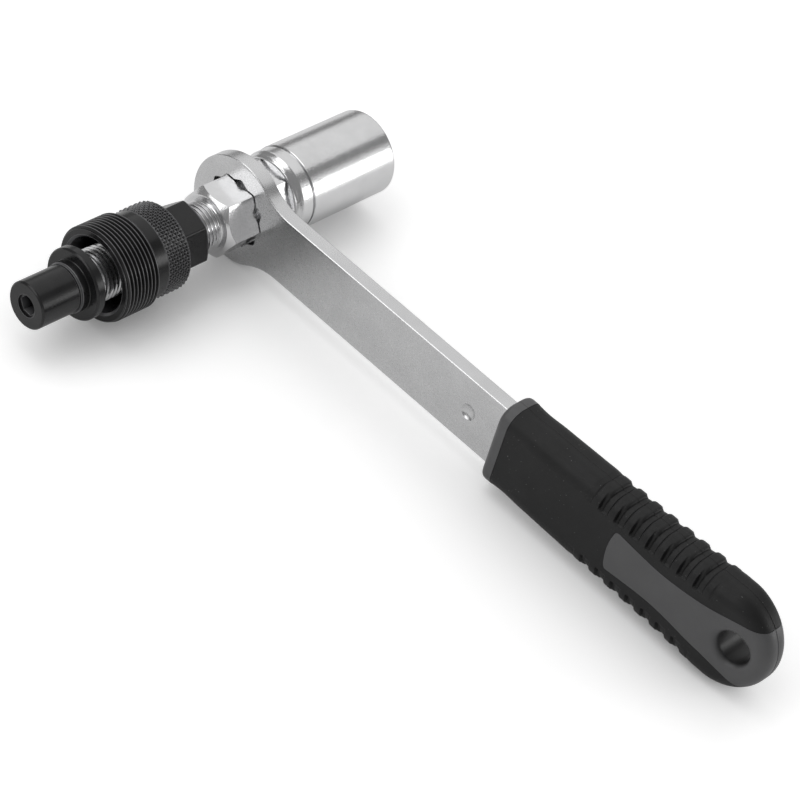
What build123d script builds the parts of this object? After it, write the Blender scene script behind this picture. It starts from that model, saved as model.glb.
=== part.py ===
"""Bicycle crank puller with a sliding ring wrench and a socket for the crank bolt.

Millimetres. The puller's axis is Y: the swivelling nose points to -Y and the socket to +Y.
The wrench reaches along +X and its width stands along Z, as the tool lies on a bench.
The origin is on the puller's axis, in the middle of the nut's outer thread, which is the
thread that goes into the crank arm. Threads are plain cylinders at their crest.
"""

from build123d import *
from math import acos, atan2, cos, radians, sin, sqrt, tan
import os

# Puller nut
crank_thread_radius = 11.0
crank_thread_length = 9.7
crank_thread_chamfer = 0.5
band_radius = 10.0
band_length = 3.1
knurl_radius = 10.3
knurl_length = 6.3
knurl_chamfer = 0.35
nut_hex_flats = 14.0
nut_hex_length = 8.1
nut_hex_turn = 47.0
nut_hex_chamfer_angle = 30.0
recess_depth = 12.4
recess_lip_chamfer = 0.5

# Spindle
spindle_thread_radius = 6.0
spindle_reach = 3.35
spindle_chamfer = 0.6
undercut_radius = 5.35
undercut_length = 1.0
shoulder_radius = 6.8
shoulder_cone_length = 1.55
drive_flats = 14.8
drive_depth = 15.4
drive_end_chamfer = 0.6

# Swivelling tip
disc_radius = 8.24
disc_thickness = 2.4
disc_chamfer = 0.35
hub_radius = 5.75
hub_length = 1.9
shank_radius = 3.6
shank_length = 8.3
shank_chamfer = 0.4
nose_radius = 5.45
nose_length = 10.2
nose_chamfer = 0.35
nose_neck_radius = 4.9
nose_neck_length = 0.2
nose_rim_radius = 5.65
nose_rim_length = 0.2
nose_key_flats = 4.1
nose_key_depth = 6.0
nose_key_mouth_radius = 2.57
nose_key_mouth_depth = 0.6
stud_radius = 2.5
stud_length = 6.0
stud_bore_spare = 0.6

# Wire snap ring that holds the tip's shank in the spindle
ring_wire_radius = 0.45
ring_setback = 5.0
ring_gap_angle = 28.0

# Ring wrench
wrench_thickness = 3.69
wrench_width = 16.4
wrench_ring_radius = 13.0
wrench_neck_fillet = 15.0
wrench_edge_break = 0.3
ring_flats = 15.2
dimple_setback = 9.4
dimple_radius = 1.7
dimple_depth = 0.45
tang_width = 13.0
tang_length = 45.0

# Socket
socket_radius = 10.04
socket_web = 3.6
socket_land = 0.1
socket_cone_length = 1.9
socket_cone_round = 1.2
socket_collar_radius = 9.85
socket_collar_length = 5.3
socket_groove_depth = 0.3
socket_groove_length = 0.4
socket_edge_round = 0.6
socket_bore_depth = 3.0
bolt_flats = 14.1
bolt_mouth_depth = 12.0
bolt_relief_radius = 6.4
bolt_relief_depth = 1.2
bolt_mouth_chamfer = 0.4

# Grip
grip_start = 83.1
grip_length = 76.4
collar_length = 2.9
grip_half_thickness = 5.25
grip_half_height = 10.7
grip_straight_length = 21.9
grip_shoulder_round = 100.0
grip_tail_radius = 12.1
grip_thinning = 1.75
grip_thinning_length = 17.5
grip_thinning_round = 50.0
grip_edge_round = 3.3
grip_front_round = 0.8
sleeve_side_wall = 1.85
sleeve_edge_wall = 2.3
core_edge_round = 1.5
groove_setback = 30.4
groove_pitch = 4.34
groove_count = 7
groove_depth = 0.75
end_groove_depth = 0.3
groove_floor_radius = 6.6
groove_tube_radius = 1.6
panel_length = 42.1
panel_tip_half_width = 5.35
panel_tip_sweep = 0.9
panel_corner_round = 1.4
panel_waist_half_width = 4.4
panel_waist_setback = 28.5
panel_belly_half_width = 5.6
panel_belly_setback = 16.9
panel_tail_half_width = 8.75
hang_hole_radius = 3.8
hang_hole_setback = 8.3
hang_hole_wall = 3.45
hang_hole_mouth_round = 1.3

# Clearances and room to move
running_clearance = 0.05
end_clearance = 0.1
recess_clearance = 0.42
ring_clearance = 0.1
nut_rear_room = 5.45
wrench_tip_room = 7.2
wrench_socket_room = 6.36
cut_margin = 2.0

# Stations along the puller's axis, from the nose to the socket
nut_front = -crank_thread_length / 2
crank_thread_end = crank_thread_length / 2
knurl_start = crank_thread_end + band_length
knurl_end = knurl_start + knurl_length
nut_rear = knurl_end + nut_hex_length
recess_floor = nut_front + recess_depth
spindle_start = nut_front - spindle_reach
disc_back = spindle_start - end_clearance
disc_front = disc_back - disc_thickness
hub_front = disc_front - hub_length
nose_rim_back = hub_front - nose_neck_length
nose_rim_front = nose_rim_back - nose_rim_length
nose_back = nose_rim_front - nose_neck_length
nose_front = nose_back - nose_length
shank_end = disc_back + shank_length
ring_station = spindle_start + ring_setback
stud_end = hub_front + stud_length
shoulder_station = nut_rear + nut_rear_room
shoulder_cone_end = shoulder_station + shoulder_cone_length
wrench_front = shoulder_cone_end + wrench_tip_room
wrench_station = wrench_front + wrench_thickness / 2
socket_start = wrench_front + wrench_thickness + wrench_socket_room
socket_cone_end = socket_start + socket_cone_length
socket_collar_end = socket_start + socket_collar_length
drive_end = socket_start + drive_depth
mouth_floor = drive_end + socket_web
socket_end = mouth_floor + bolt_mouth_depth

# Places along the wrench, from its ring to the end of the grip
collar_end = grip_start + collar_length
tang_end = collar_end + tang_length
grip_end = grip_start + grip_length
grip_straight_end = grip_start + grip_straight_length
grip_tail_centre = grip_end - grip_tail_radius
grip_thinning_start = grip_end - grip_thinning_length
groove_first = grip_start + groove_setback
panel_tip = grip_end - panel_length
hang_hole_place = grip_end - hang_hole_setback

# Radii that follow from the sizes above
hex_corner_ratio = 1 / cos(radians(30))
recess_radius = disc_radius + recess_clearance
nut_bore_radius = spindle_thread_radius + running_clearance
shank_bore_radius = shank_radius + running_clearance
ring_centre_radius = (shank_radius + shank_bore_radius) / 2
ring_groove_half = ring_wire_radius + ring_clearance
drive_corner_radius = drive_flats / 2 * hex_corner_ratio
bolt_corner_radius = bolt_flats / 2 * hex_corner_ratio
socket_bore_radius = drive_corner_radius + running_clearance
core_half_thickness = grip_half_thickness - sleeve_side_wall
core_half_height = grip_half_height - sleeve_edge_wall


def across(station):
    """The plane square to the puller's axis at a station, with its y along Z."""
    return Plane.XZ.offset(-station)


def turn(points, mode=Mode.ADD):
    """Turn an outline of (radius, station) points about the puller's axis."""
    with BuildSketch(Plane.XY) as outline:
        with BuildLine():
            Polyline(*points, close=True)
        make_face()
    revolve(outline.sketch, axis=Axis.Y, mode=mode)


def hexagon(flats, start, end, mode=Mode.ADD, turned=0.0):
    """A hexagonal bar on the puller's axis from one station to another."""
    with BuildSketch(across(start)) as outline:
        RegularPolygon(flats / 2, 6, major_radius=False, rotation=turned)
    extrude(outline.sketch, amount=start - end, mode=mode)


# The puller nut is one turned piece: outer thread, band, knurled ring and hexagon
nut_hex_outer = nut_hex_flats / 2 * hex_corner_ratio + cut_margin
nut_hex_slope = tan(radians(nut_hex_chamfer_angle))
with BuildPart() as puller_nut:
    hexagon(nut_hex_flats, knurl_start, nut_rear, turned=nut_hex_turn)
    turn(
        [
            (0, knurl_start),
            (nut_hex_outer, knurl_start),
            (nut_hex_outer, nut_rear - nut_hex_slope * (nut_hex_outer - nut_hex_flats / 2)),
            (nut_hex_flats / 2, nut_rear),
            (0, nut_rear),
        ],
        mode=Mode.INTERSECT,
    )
    turn(
        [
            (0, nut_front),
            (crank_thread_radius - crank_thread_chamfer, nut_front),
            (crank_thread_radius, nut_front + crank_thread_chamfer),
            (crank_thread_radius, crank_thread_end - crank_thread_chamfer),
            (band_radius, crank_thread_end),
            (band_radius, knurl_start),
            (knurl_radius - knurl_chamfer, knurl_start),
            (knurl_radius, knurl_start + knurl_chamfer),
            (knurl_radius, knurl_end - knurl_chamfer),
            (knurl_radius - knurl_chamfer, knurl_end),
            (0, knurl_end),
        ]
    )
    turn(
        [
            (0, nut_front),
            (recess_radius + recess_lip_chamfer, nut_front),
            (recess_radius, nut_front + recess_lip_chamfer),
            (recess_radius, recess_floor),
            (nut_bore_radius, recess_floor),
            (nut_bore_radius, nut_rear),
            (0, nut_rear),
        ],
        mode=Mode.SUBTRACT,
    )
puller_nut.part.label = "puller_nut"

# The spindle is one bar: thread, undercut, coned shoulder and driving hexagon
drive_outer = drive_corner_radius + cut_margin
cone_slope = shoulder_cone_length / (drive_corner_radius - shoulder_radius)
with BuildPart() as spindle:
    hexagon(drive_flats, shoulder_station, drive_end)
    turn(
        [
            (0, shoulder_station),
            (shoulder_radius, shoulder_station),
            (drive_outer, shoulder_station + cone_slope * (drive_outer - shoulder_radius)),
            (drive_outer, drive_end - drive_end_chamfer - cut_margin),
            (drive_corner_radius - drive_end_chamfer, drive_end),
            (0, drive_end),
        ],
        mode=Mode.INTERSECT,
    )
    turn(
        [
            (0, spindle_start),
            (spindle_thread_radius - spindle_chamfer, spindle_start),
            (spindle_thread_radius, spindle_start + spindle_chamfer),
            (spindle_thread_radius, shoulder_station - undercut_length),
            (undercut_radius, shoulder_station - undercut_length / 2),
            (undercut_radius, shoulder_station),
            (0, shoulder_station),
        ]
    )
    turn(
        [
            (0, spindle_start),
            (shank_bore_radius, spindle_start),
            (shank_bore_radius, shank_end + end_clearance),
            (0, shank_end + end_clearance + shank_bore_radius / 2),
        ],
        mode=Mode.SUBTRACT,
    )
    turn(
        [
            (0, ring_station - ring_groove_half),
            (ring_centre_radius + ring_groove_half, ring_station - ring_groove_half),
            (ring_centre_radius + ring_groove_half, ring_station + ring_groove_half),
            (0, ring_station + ring_groove_half),
        ],
        mode=Mode.SUBTRACT,
    )
spindle.part.label = "spindle"

# The disc that pushes on a splined axle, with its hub and the shank it swivels on
with BuildPart() as adapter_disc:
    turn(
        [
            (0, hub_front),
            (hub_radius, hub_front),
            (hub_radius, disc_front),
            (disc_radius - disc_chamfer, disc_front),
            (disc_radius, disc_front + disc_chamfer),
            (disc_radius, disc_back - disc_chamfer),
            (disc_radius - disc_chamfer, disc_back),
            (shank_radius, disc_back),
            (shank_radius, ring_station - ring_groove_half),
            (ring_centre_radius - ring_groove_half, ring_station - ring_groove_half),
            (ring_centre_radius - ring_groove_half, ring_station + ring_groove_half),
            (shank_radius, ring_station + ring_groove_half),
            (shank_radius, shank_end - shank_chamfer),
            (shank_radius - shank_chamfer, shank_end),
            (0, shank_end),
        ]
    )
    with Locations(across(hub_front)):
        Hole(stud_radius, depth=stud_length + stud_bore_spare)
adapter_disc.part.label = "adapter_disc"

# The nose that pushes on a square axle, screwed into the disc with a hexagonal key
with BuildPart() as nose_screw:
    turn(
        [
            (0, nose_front),
            (nose_radius - nose_chamfer, nose_front),
            (nose_radius, nose_front + nose_chamfer),
            (nose_radius, nose_back),
            (nose_neck_radius, nose_back),
            (nose_neck_radius, nose_rim_front),
            (nose_rim_radius, nose_rim_front),
            (nose_rim_radius, nose_rim_back),
            (nose_neck_radius, nose_rim_back),
            (nose_neck_radius, hub_front),
            (stud_radius, hub_front),
            (stud_radius, stud_end),
            (0, stud_end),
        ]
    )
    hexagon(nose_key_flats, nose_front, nose_front + nose_key_depth, mode=Mode.SUBTRACT)
    with Locations(across(nose_front)):
        Hole(nose_key_mouth_radius, depth=nose_key_mouth_depth)
nose_screw.part.label = "nose_screw"

# The open wire ring that keeps the shank in the spindle
with BuildPart() as retaining_ring:
    with BuildSketch(Plane.XY):
        with Locations((ring_centre_radius, ring_station)):
            Circle(ring_wire_radius)
    revolve(axis=Axis.Y, revolution_arc=360 - ring_gap_angle)
retaining_ring.part.label = "retaining_ring"

# The wrench is flat bar: twelve-point ring, neck, bar and the tang inside the grip
dimple_ball_radius = (dimple_radius**2 + dimple_depth**2) / (2 * dimple_depth)
with BuildPart() as wrench:
    with BuildSketch(across(wrench_front)):
        Circle(wrench_ring_radius)
        with Locations((collar_end / 2, 0)):
            Rectangle(collar_end, wrench_width)
        fillet(vertices().filter_by(lambda v: v.X < wrench_ring_radius), wrench_neck_fillet)
    extrude(amount=-wrench_thickness)
    rims = faces().filter_by(Axis.Y).edges()
    chamfer(rims.filter_by(lambda e: e.center().X < collar_end - cut_margin), wrench_edge_break)
    with BuildSketch(across(wrench_front)):
        for turned in (0, 30):
            RegularPolygon(ring_flats / 2, 6, major_radius=False, rotation=turned)
    extrude(amount=-wrench_thickness, mode=Mode.SUBTRACT)
    with BuildSketch(across(wrench_front)):
        with Locations((collar_end + tang_length / 2, 0)):
            Rectangle(tang_length, tang_width)
    extrude(amount=-wrench_thickness)
    with Locations((grip_start - dimple_setback, wrench_front + dimple_depth - dimple_ball_radius, 0)):
        Sphere(dimple_ball_radius, mode=Mode.SUBTRACT)
wrench.part.label = "wrench"

# The socket for the crank bolt sits on the end of the driving hexagon
with BuildPart() as socket:
    turn(
        [
            (0, socket_start),
            (socket_bore_radius + socket_land, socket_start),
            (socket_collar_radius, socket_cone_end),
            (socket_collar_radius, socket_collar_end - socket_groove_length),
            (socket_collar_radius - socket_groove_depth, socket_collar_end - socket_groove_length),
            (socket_collar_radius - socket_groove_depth, socket_collar_end),
            (socket_radius, socket_collar_end),
            (socket_radius, socket_end),
            (0, socket_end),
        ]
    )
    fillet(edges().filter_by_position(Axis.Y, socket_cone_end, socket_cone_end), socket_cone_round)
    fillet(edges().group_by(Axis.Y)[-1], socket_edge_round)
    with Locations(across(socket_start)):
        Hole(socket_bore_radius, depth=socket_bore_depth)
    hexagon(drive_flats, socket_start, drive_end, mode=Mode.SUBTRACT)
    hexagon(bolt_flats, mouth_floor, socket_end, mode=Mode.SUBTRACT)
    turn(
        [
            (0, mouth_floor - bolt_relief_depth),
            (bolt_relief_radius - bolt_relief_depth, mouth_floor - bolt_relief_depth),
            (bolt_relief_radius, mouth_floor),
            (bolt_relief_radius, socket_end - bolt_mouth_chamfer),
            (bolt_corner_radius - bolt_mouth_chamfer, socket_end - bolt_mouth_chamfer),
            (bolt_corner_radius, socket_end),
            (0, socket_end),
        ],
        mode=Mode.SUBTRACT,
    )
socket.part.label = "socket"


def grip_half_height_at(place):
    """Half the height of the plain grip at a place along the wrench."""
    share = (place - grip_straight_end) / (grip_tail_centre - grip_straight_end)
    return grip_half_height + max(0.0, share) * (grip_tail_radius - grip_half_height)


# The moulded form that the core and the sleeve share, before the finger grooves
wrench_plane = across(wrench_station)
slope_length = grip_tail_centre - grip_straight_end
slope_angle = atan2(grip_half_height, -slope_length)
slope_angle -= acos(grip_tail_radius / sqrt(slope_length**2 + grip_half_height**2))
slope_end_x = grip_tail_centre + grip_tail_radius * cos(slope_angle)
slope_end_z = grip_tail_radius * sin(slope_angle)
with BuildPart() as grip_form:
    with BuildSketch(wrench_plane):
        with BuildLine():
            Polyline(
                (slope_end_x, slope_end_z),
                (grip_straight_end, grip_half_height),
                (grip_start, grip_half_height),
                (grip_start, -grip_half_height),
                (grip_straight_end, -grip_half_height),
                (slope_end_x, -slope_end_z),
            )
            ThreePointArc((slope_end_x, -slope_end_z), (grip_end, 0), (slope_end_x, slope_end_z))
        make_face()
        fillet(vertices().group_by(Axis.X)[1], grip_shoulder_round)
    extrude(amount=grip_half_thickness + cut_margin, both=True)
    with BuildSketch():
        with BuildLine():
            outer = wrench_station + grip_half_thickness
            inner = wrench_station - grip_half_thickness
            Polyline(
                (grip_start, outer),
                (grip_thinning_start, outer),
                (grip_end, outer - grip_thinning),
                (grip_end, inner + grip_thinning),
                (grip_thinning_start, inner),
                (grip_start, inner),
                close=True,
            )
        make_face()
        fillet(vertices().group_by(Axis.X)[1], grip_thinning_round)
    extrude(amount=grip_tail_radius + cut_margin, both=True, mode=Mode.INTERSECT)
    side_edges = edges().filter_by(lambda e: abs(e.center().Y - wrench_station) > cut_margin)
    fillet(side_edges.filter_by(Axis.Z, reverse=True), grip_edge_round)
    fillet(faces().sort_by(Axis.X)[0].edges(), grip_front_round)

# Cutters for the finger grooves: part rings that run over the grip's narrow sides
with BuildPart() as finger_grooves:
    for index in range(-1, groove_count + 1):
        place = groove_first + index * groove_pitch
        depth = groove_depth if 0 <= index < groove_count else end_groove_depth
        centre_z = grip_half_height_at(place) - depth - groove_floor_radius
        with Locations((place, wrench_station, centre_z)):
            Torus(groove_floor_radius + groove_tube_radius, groove_tube_radius, rotation=(0, 90, 0))
    split(bisect_by=Plane.XY.offset(grip_half_height - grip_half_thickness), keep=Keep.TOP)
    mirror(about=Plane.XY)

# The hard core shows as the collar, as a panel on each face and as the tail with its hole
with BuildPart() as core_bar:
    core_length = hang_hole_place - collar_end
    with Locations((collar_end + core_length / 2, wrench_station, 0)):
        Box(core_length, 2 * core_half_thickness, 2 * core_half_height)
    fillet(edges().filter_by(Axis.X), core_edge_round)

with BuildPart() as core_zone:
    add(core_bar.part)
    with Locations((grip_start + collar_length / 2, wrench_station, 0)):
        Box(collar_length, 2 * (grip_half_thickness + cut_margin), 2 * (grip_half_height + cut_margin))
    with BuildSketch(wrench_plane):
        with BuildLine():
            upper = [
                (panel_tip + panel_tip_sweep, panel_tip_half_width),
                (grip_end - panel_waist_setback, panel_waist_half_width),
                (grip_end - panel_belly_setback, panel_belly_half_width),
                (hang_hole_place, hang_hole_radius + hang_hole_wall),
                (grip_end, panel_tail_half_width),
            ]
            lower = [(x, -z) for x, z in upper]
            Spline(*upper)
            Line(upper[-1], lower[-1])
            Spline(*lower)
            ThreePointArc(lower[0], (panel_tip, 0), upper[0])
        make_face()
        fillet(vertices().group_by(Axis.X)[0], panel_corner_round)
    extrude(amount=grip_half_thickness + cut_margin, both=True)

with BuildPart() as grip_core:
    add(grip_form.part)
    add(core_zone.part, mode=Mode.INTERSECT)
    with BuildSketch(wrench_plane):
        with Locations((hang_hole_place, 0)):
            Circle(hang_hole_radius)
    extrude(amount=grip_half_thickness + cut_margin, both=True, mode=Mode.SUBTRACT)
    hole_wall = faces().filter_by(GeomType.CYLINDER).filter_by(lambda f: f.radius == hang_hole_radius)
    fillet(hole_wall.edges().filter_by(Axis.Y, reverse=True), hang_hole_mouth_round)
    add(wrench.part, mode=Mode.SUBTRACT)
grip_core.part.label = "grip_core"

# The rubber sleeve is the rest of the form, grooved on its narrow sides
with BuildPart() as grip_sleeve:
    add(grip_form.part)
    add(core_zone.part, mode=Mode.SUBTRACT)
    add(finger_grooves.part, mode=Mode.SUBTRACT)
grip_sleeve.part.label = "grip_sleeve"

os.makedirs("parts", exist_ok=True)
export_step(puller_nut.part, "parts/puller_nut.step")
export_step(spindle.part, "parts/spindle.step")
export_step(adapter_disc.part, "parts/adapter_disc.step")
export_step(nose_screw.part, "parts/nose_screw.step")
export_step(retaining_ring.part, "parts/retaining_ring.step")
export_step(wrench.part, "parts/wrench.step")
export_step(socket.part, "parts/socket.step")
export_step(grip_core.part, "parts/grip_core.step")
export_step(grip_sleeve.part, "parts/grip_sleeve.step")
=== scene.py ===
from math import asin, atan2, ceil, cos, degrees, pi, radians, sin, sqrt, tan

import bmesh
import bpy
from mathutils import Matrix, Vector
from mathutils.geometry import tessellate_polygon


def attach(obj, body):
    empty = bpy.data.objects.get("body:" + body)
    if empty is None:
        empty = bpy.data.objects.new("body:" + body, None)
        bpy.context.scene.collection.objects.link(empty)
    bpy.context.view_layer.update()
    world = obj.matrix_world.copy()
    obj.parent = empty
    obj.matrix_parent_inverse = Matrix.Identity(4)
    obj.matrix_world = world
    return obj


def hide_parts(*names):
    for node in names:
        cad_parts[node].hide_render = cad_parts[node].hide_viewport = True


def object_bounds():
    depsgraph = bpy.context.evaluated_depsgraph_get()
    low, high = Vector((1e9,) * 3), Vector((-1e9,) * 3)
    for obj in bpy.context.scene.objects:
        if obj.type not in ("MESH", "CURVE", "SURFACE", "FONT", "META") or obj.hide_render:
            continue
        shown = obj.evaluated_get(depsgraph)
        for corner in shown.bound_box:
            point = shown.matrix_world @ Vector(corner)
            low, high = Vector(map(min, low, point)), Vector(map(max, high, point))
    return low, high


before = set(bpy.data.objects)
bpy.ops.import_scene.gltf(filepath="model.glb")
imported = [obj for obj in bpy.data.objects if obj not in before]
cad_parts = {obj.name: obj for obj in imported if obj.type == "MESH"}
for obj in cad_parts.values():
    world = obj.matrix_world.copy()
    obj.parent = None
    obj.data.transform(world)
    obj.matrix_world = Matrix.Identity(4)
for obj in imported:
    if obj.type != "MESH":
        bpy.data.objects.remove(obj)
cad_low, cad_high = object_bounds()

# Sizes below are in millimetres, in the CAD frame. Meshes are written in metres.
MM = 0.001

# Puller nut
nut_front = -4.85
crank_thread_end = 4.85
crank_thread_radius = 11.0
crank_thread_front_radius = 10.45
crank_thread_pitch = 1.0
crank_thread_depth = 0.56
band_radius = 10.0
knurl_start = 7.95
knurl_end = 14.25
knurl_radius = 10.3
knurl_chamfer = 0.35
knurl_depth = 0.42
knurl_count = 45
knurl_pitch = 1.47
knurl_flat_top = 0.9
knurl_relief = 0.06
nut_rear = 22.35
nut_flats = 14.0
nut_turn = 47.0
nut_corner_radius = 7.99
recess_radius = 8.66
recess_floor = 7.55
nut_bore_radius = 6.05

# Spindle
spindle_start = -8.2
spindle_thread_radius = 6.0
spindle_thread_pitch = 1.0
spindle_thread_depth = 0.54
shoulder = 27.8
shoulder_radius = 6.8
shoulder_cone_length = 1.55
undercut_radius = 5.35
undercut_length = 1.0
undercut_ramp = 0.4
drive_flats = 14.8
drive_corner_radius = 8.47
drive_end = 62.0

# Swivelling tip
nose_front = -23.4
nose_radius = 5.45
nose_end = -13.2
nose_lip_radius = 5.65
nose_neck_radius = 4.9
key_flats = 4.1
key_depth = 6.0
key_mouth_radius = 2.57
stud_radius = 2.5
stud_length = 6.0
disc_front = -10.7
disc_back = -8.3
disc_radius = 8.24
hub_front = -12.6
hub_radius = 5.75
shank_radius = 3.6
shank_end = 0.0
shank_gap = 0.05
ring_station = -3.2
groove_half_width = 0.55
bore_groove_radius = 4.1
shank_groove_radius = 3.08

# Socket
socket_start = 46.6
socket_radius = 10.04
socket_end = 77.6
mouth_floor = 65.6
bolt_flats = 14.1
lip_radius = 8.6
lip_gap_depth = 0.55
collar_radius = 9.85
collar_round = 1.2
collar_groove_radius = 9.55

# Wrench
wrench_front = 36.55
wrench_thickness = 3.69
wrench_middle = wrench_front + wrench_thickness / 2
wrench_half_width = 8.2
ring_radius = 13.0
neck_fillet = 15.0
ring_flats = 15.2
dimple_place = 73.7
dimple_radius = 1.95
dimple_depth = 0.75
tang_end = 131.0
tang_half_width = 6.5

# Grip
grip_start = 83.1
collar_end = 86.0
grip_end = 159.5
grip_half_thickness = 5.25
grip_half_height = 10.7
grip_straight_end = 105.0
tail_radius = 12.1
tail_centre = grip_end - tail_radius
thinning = 1.75
thinning_start = grip_end - 17.5
hole_place = 151.2
hole_radius = 3.8
seam = 0.07
front_round = 1.2
mouth_round = 1.5
core_half_height = 8.4
core_half_thickness = 3.4
parting_depth = 0.09
parting_half_width = 0.07

# Radius of the grip's long edges at places along it
corner_rounds = (
    (83.0, 3.95), (86.0, 4.0), (95.0, 4.15), (104.0, 3.72), (108.0, 3.7), (116.0, 3.9),
    (133.0, 4.13), (142.0, 3.9), (148.0, 3.15), (160.0, 2.6),
)

# Ribs on the grip's narrow sides. The ends of a ledge and of a lobe are shares of the pitch.
ribs_start = 108.3
ribs_end = 144.4
ribs_fade = 5.0
first_slot = 113.5
slot_pitch = 4.34
rib_height = 0.58
ledge_end = 0.3
lobe_end = 0.975

# Panel on each face, with half its height at places along it
panel_tip = 117.4
panel_tip_half_height = 3.9
panel_points = ((118.3, 5.35), (131.0, 4.4), (142.6, 5.6), (151.2, 7.25), (159.5, 8.75), (163.0, 9.3))


# Helpers that build meshes from rows of points

def solid(name, points, faces):
    """A closed mesh object from points in millimetres."""
    mesh = bpy.data.meshes.new(name)
    mesh.from_pydata([(x * MM, y * MM, z * MM) for x, y, z in points], [], faces)
    shape = bmesh.new()
    shape.from_mesh(mesh)
    bmesh.ops.remove_doubles(shape, verts=shape.verts, dist=0.002 * MM)
    bmesh.ops.dissolve_degenerate(shape, edges=shape.edges, dist=0.0005 * MM)
    bmesh.ops.recalc_face_normals(shape, faces=shape.faces)
    shape.to_mesh(mesh)
    shape.free()
    piece = bpy.data.objects.new(name, mesh)
    bpy.context.scene.collection.objects.link(piece)
    return piece


def build(name, points, faces, body, slot_name, nodes):
    """A closed piece that rides on a body and stands for CAD nodes."""
    piece = solid(name, points, faces)
    # The black pieces get lighter edges and crests: partly wear, partly a painted highlight.
    if slot_name == "black_oxide_steel":
        store_wear_and_highlight_bends(piece)
    dress(piece, body, slot_name, nodes)


def store_wear_and_highlight_bends(piece):
    """Store how sharply the surface bends outward at each point, in degrees, for the lighter edges,
    which are partly worn and partly a painted highlight.

    The value fades out along a face to its next row of points, so the black pieces have rows
    close beside their edges.
    """
    shape = bmesh.new()
    shape.from_mesh(piece.data)
    bends = [
        max(degrees(edge.calc_face_angle_signed(0.0)) for edge in point.link_edges)
        for point in shape.verts
    ]
    shape.free()
    piece.data.attributes.new("worn", "FLOAT", "POINT").data.foreach_set("value", bends)


def dress(piece, body, slot_name, nodes, sharp_angle=30.0):
    """Shade a piece smooth between its sharp edges, give it its finish and tie it to the frame."""
    mesh = piece.data
    mesh.polygons.foreach_set("use_smooth", [True] * len(mesh.polygons))
    mesh.set_sharp_from_angle(angle=radians(sharp_angle))
    normals = piece.modifiers.new("normals", "WEIGHTED_NORMAL")
    normals.keep_sharp = True
    mesh.materials.clear()
    mesh.materials.append(finishes[slot_name])
    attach(piece, body)
    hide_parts(*nodes)


def joined(rows, split=None):
    """Faces between rows of equal length. split says which way a cell's diagonal runs."""
    faces = []
    count = len(rows[0])
    for i in range(len(rows) - 1):
        for j in range(count - 1):
            a = i * count + j
            b, c, d = a + 1, a + count + 1, a + count
            way = split(i, j) if split else None
            if way is None:
                faces.append((a, b, c, d))
            elif way:
                faces += [(a, b, d), (b, c, d)]
            else:
                faces += [(a, b, c), (a, c, d)]
    return faces


def turned(rows, spokes, start=0.0, split=None):
    """Points and faces of rows that go round the Y axis. A row is a pair or a function of the angle."""
    grid = []
    for row in rows:
        line = []
        for j in range(spokes + 1):
            angle = start + 360.0 * j / spokes
            radius, station = row(angle) if callable(row) else row
            line.append((radius * cos(radians(angle)), station, radius * sin(radians(angle))))
        grid.append(line)
    points = [point for line in grid for point in line]
    return points, joined(grid, split=split)


def hexagon(flats, angle, corner_angle=0.0, corner_radius=1e9):
    """Radius of a hexagon at an angle, with its corners turned down to a radius."""
    turn = (angle - corner_angle) % 60.0 - 30.0
    return min(flats / 2 / cos(radians(turn)), corner_radius)


# Thread form in shares of its pitch: half of its flat crest, each flank, and where rows lie
crest_share = 0.0625
flank_share = 0.3125
root_share = crest_share + flank_share
coarse_steps = (-crest_share, crest_share, 0.21, root_share, 1 - root_share, 0.79)
fine_steps = (
    -crest_share, crest_share, 0.14, 0.22, 0.3, root_share, 0.5, 1 - root_share, 0.7, 0.78, 0.86,
)


def thread_rows(radius, depth, pitch, start, end, blank, steps):
    """Rows that follow a right-hand thread. blank gives the radius of the bar at a station."""

    def radius_at(angle, station):
        share = ((station - start) / pitch + angle / 360.0) % 1.0
        away = min(share, 1.0 - share)
        fall = min(max((away - crest_share) / flank_share, 0.0), 1.0)
        return min(radius - depth * fall, blank(station))

    def row(place):
        def point(angle):
            station = start + (place - angle / 360.0) * pitch
            station = min(max(station, start), end)
            return radius_at(angle, station), station
        return point

    turns = ceil((end - start) / pitch) + 2
    return [row(turn + step) for turn in range(turns) for step in steps]


# Materials

def shader(name):
    """A new material with its node tree, and its Principled BSDF."""
    material = bpy.data.materials.new(name)
    material.use_nodes = True
    tree = material.node_tree
    return material, tree, tree.nodes["Principled BSDF"]


def feed(tree, target, inputs):
    """Give a node's inputs their values, or link them to the outputs of other nodes."""
    for key, value in inputs.items():
        if isinstance(value, bpy.types.NodeSocket):
            tree.links.new(value, target.inputs[key])
        else:
            target.inputs[key].default_value = value


def node(tree, kind, inputs=None, **settings):
    """A shader node with its settings and its inputs."""
    made = tree.nodes.new(kind)
    for key, value in settings.items():
        setattr(made, key, value)
    feed(tree, made, inputs or {})
    return made


def maths(tree, operation, *values):
    """The result of an operation on values or links."""
    inputs = dict(enumerate(values))
    return node(tree, "ShaderNodeMath", inputs, operation=operation).outputs["Value"]


def object_place(tree):
    """The place on the object, in metres in the shared frame."""
    return node(tree, "ShaderNodeTexCoord").outputs["Object"]


def noise(tree, size, stretch=(1, 1, 1), detail=3.0, roughness=0.55):
    """Noise in object space with features of about a size in millimetres."""
    mapping = node(tree, "ShaderNodeMapping", {"Vector": object_place(tree), "Scale": stretch})
    inputs = {
        "Vector": mapping.outputs["Vector"],
        "Scale": 1 / (size * MM),
        "Detail": detail,
        "Roughness": roughness,
    }
    return node(tree, "ShaderNodeTexNoise", inputs).outputs["Fac"]


def spread(tree, value, low, high, start=0.3, end=0.7):
    """Map a value's range, by default that of noise, onto another one."""
    inputs = {"Value": value, "From Min": start, "From Max": end, "To Min": low, "To Max": high}
    return node(tree, "ShaderNodeMapRange", inputs).outputs["Result"]


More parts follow.
